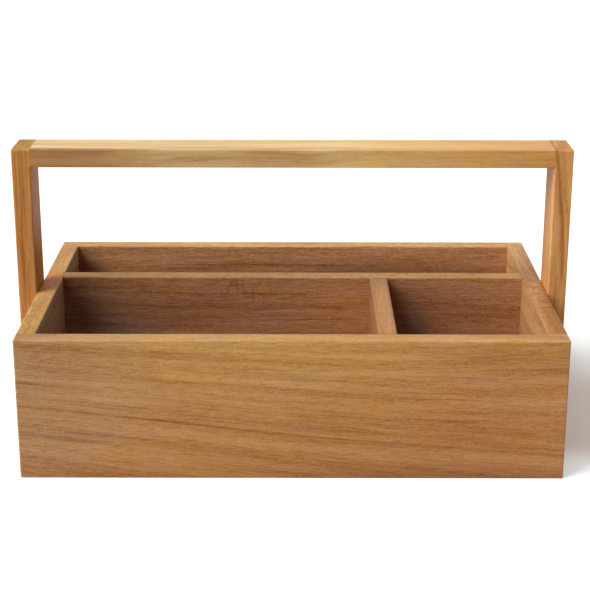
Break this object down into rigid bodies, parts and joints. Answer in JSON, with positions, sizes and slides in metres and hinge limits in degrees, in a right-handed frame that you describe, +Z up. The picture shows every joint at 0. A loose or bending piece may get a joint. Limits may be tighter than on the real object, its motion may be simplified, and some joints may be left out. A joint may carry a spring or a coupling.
{
  "type": "utensil caddy",
  "caption": "Open rectangular wooden utensil caddy with a long divider, a cross divider and a fixed bar handle on two uprights outside its ends.",
  "frame": {"origin": "middle of the footprint, on the surface that the caddy stands on", "axes": "+X along the front board to the right, +Y from the front to the back, +Z up"},
  "size_m": [0.45, 0.266, 0.234],
  "materials": {
    "oak_board": "solid oak, long straight to flowing grain with fine dark pores, oiled, satin",
    "oak_inside": "solid oak with streaks and medullary flecks, oiled, satin",
    "oak_handle": "solid oak, pale straight grain, oiled and a little smoother from the hand, satin",
    "oak_panel": "oak-veneered panel, oiled, satin",
    "beech_dowel": "plain beech dowel, unfinished"
  },
  "bodies": {
    "root": {"front_board": "oak_board", "back_board": "oak_board", "left_side_board": "oak_board", "right_side_board": "oak_board", "floor_panel": "oak_panel", "long_divider": "oak_inside", "cross_divider": "oak_inside", "left_upright": "oak_handle", "right_upright": "oak_handle", "handle_bar": "oak_handle", "corner_dowels": "beech_dowel", "upright_dowels": "beech_dowel", "bar_dowels": "beech_dowel"}
  },
  "joints": []
}
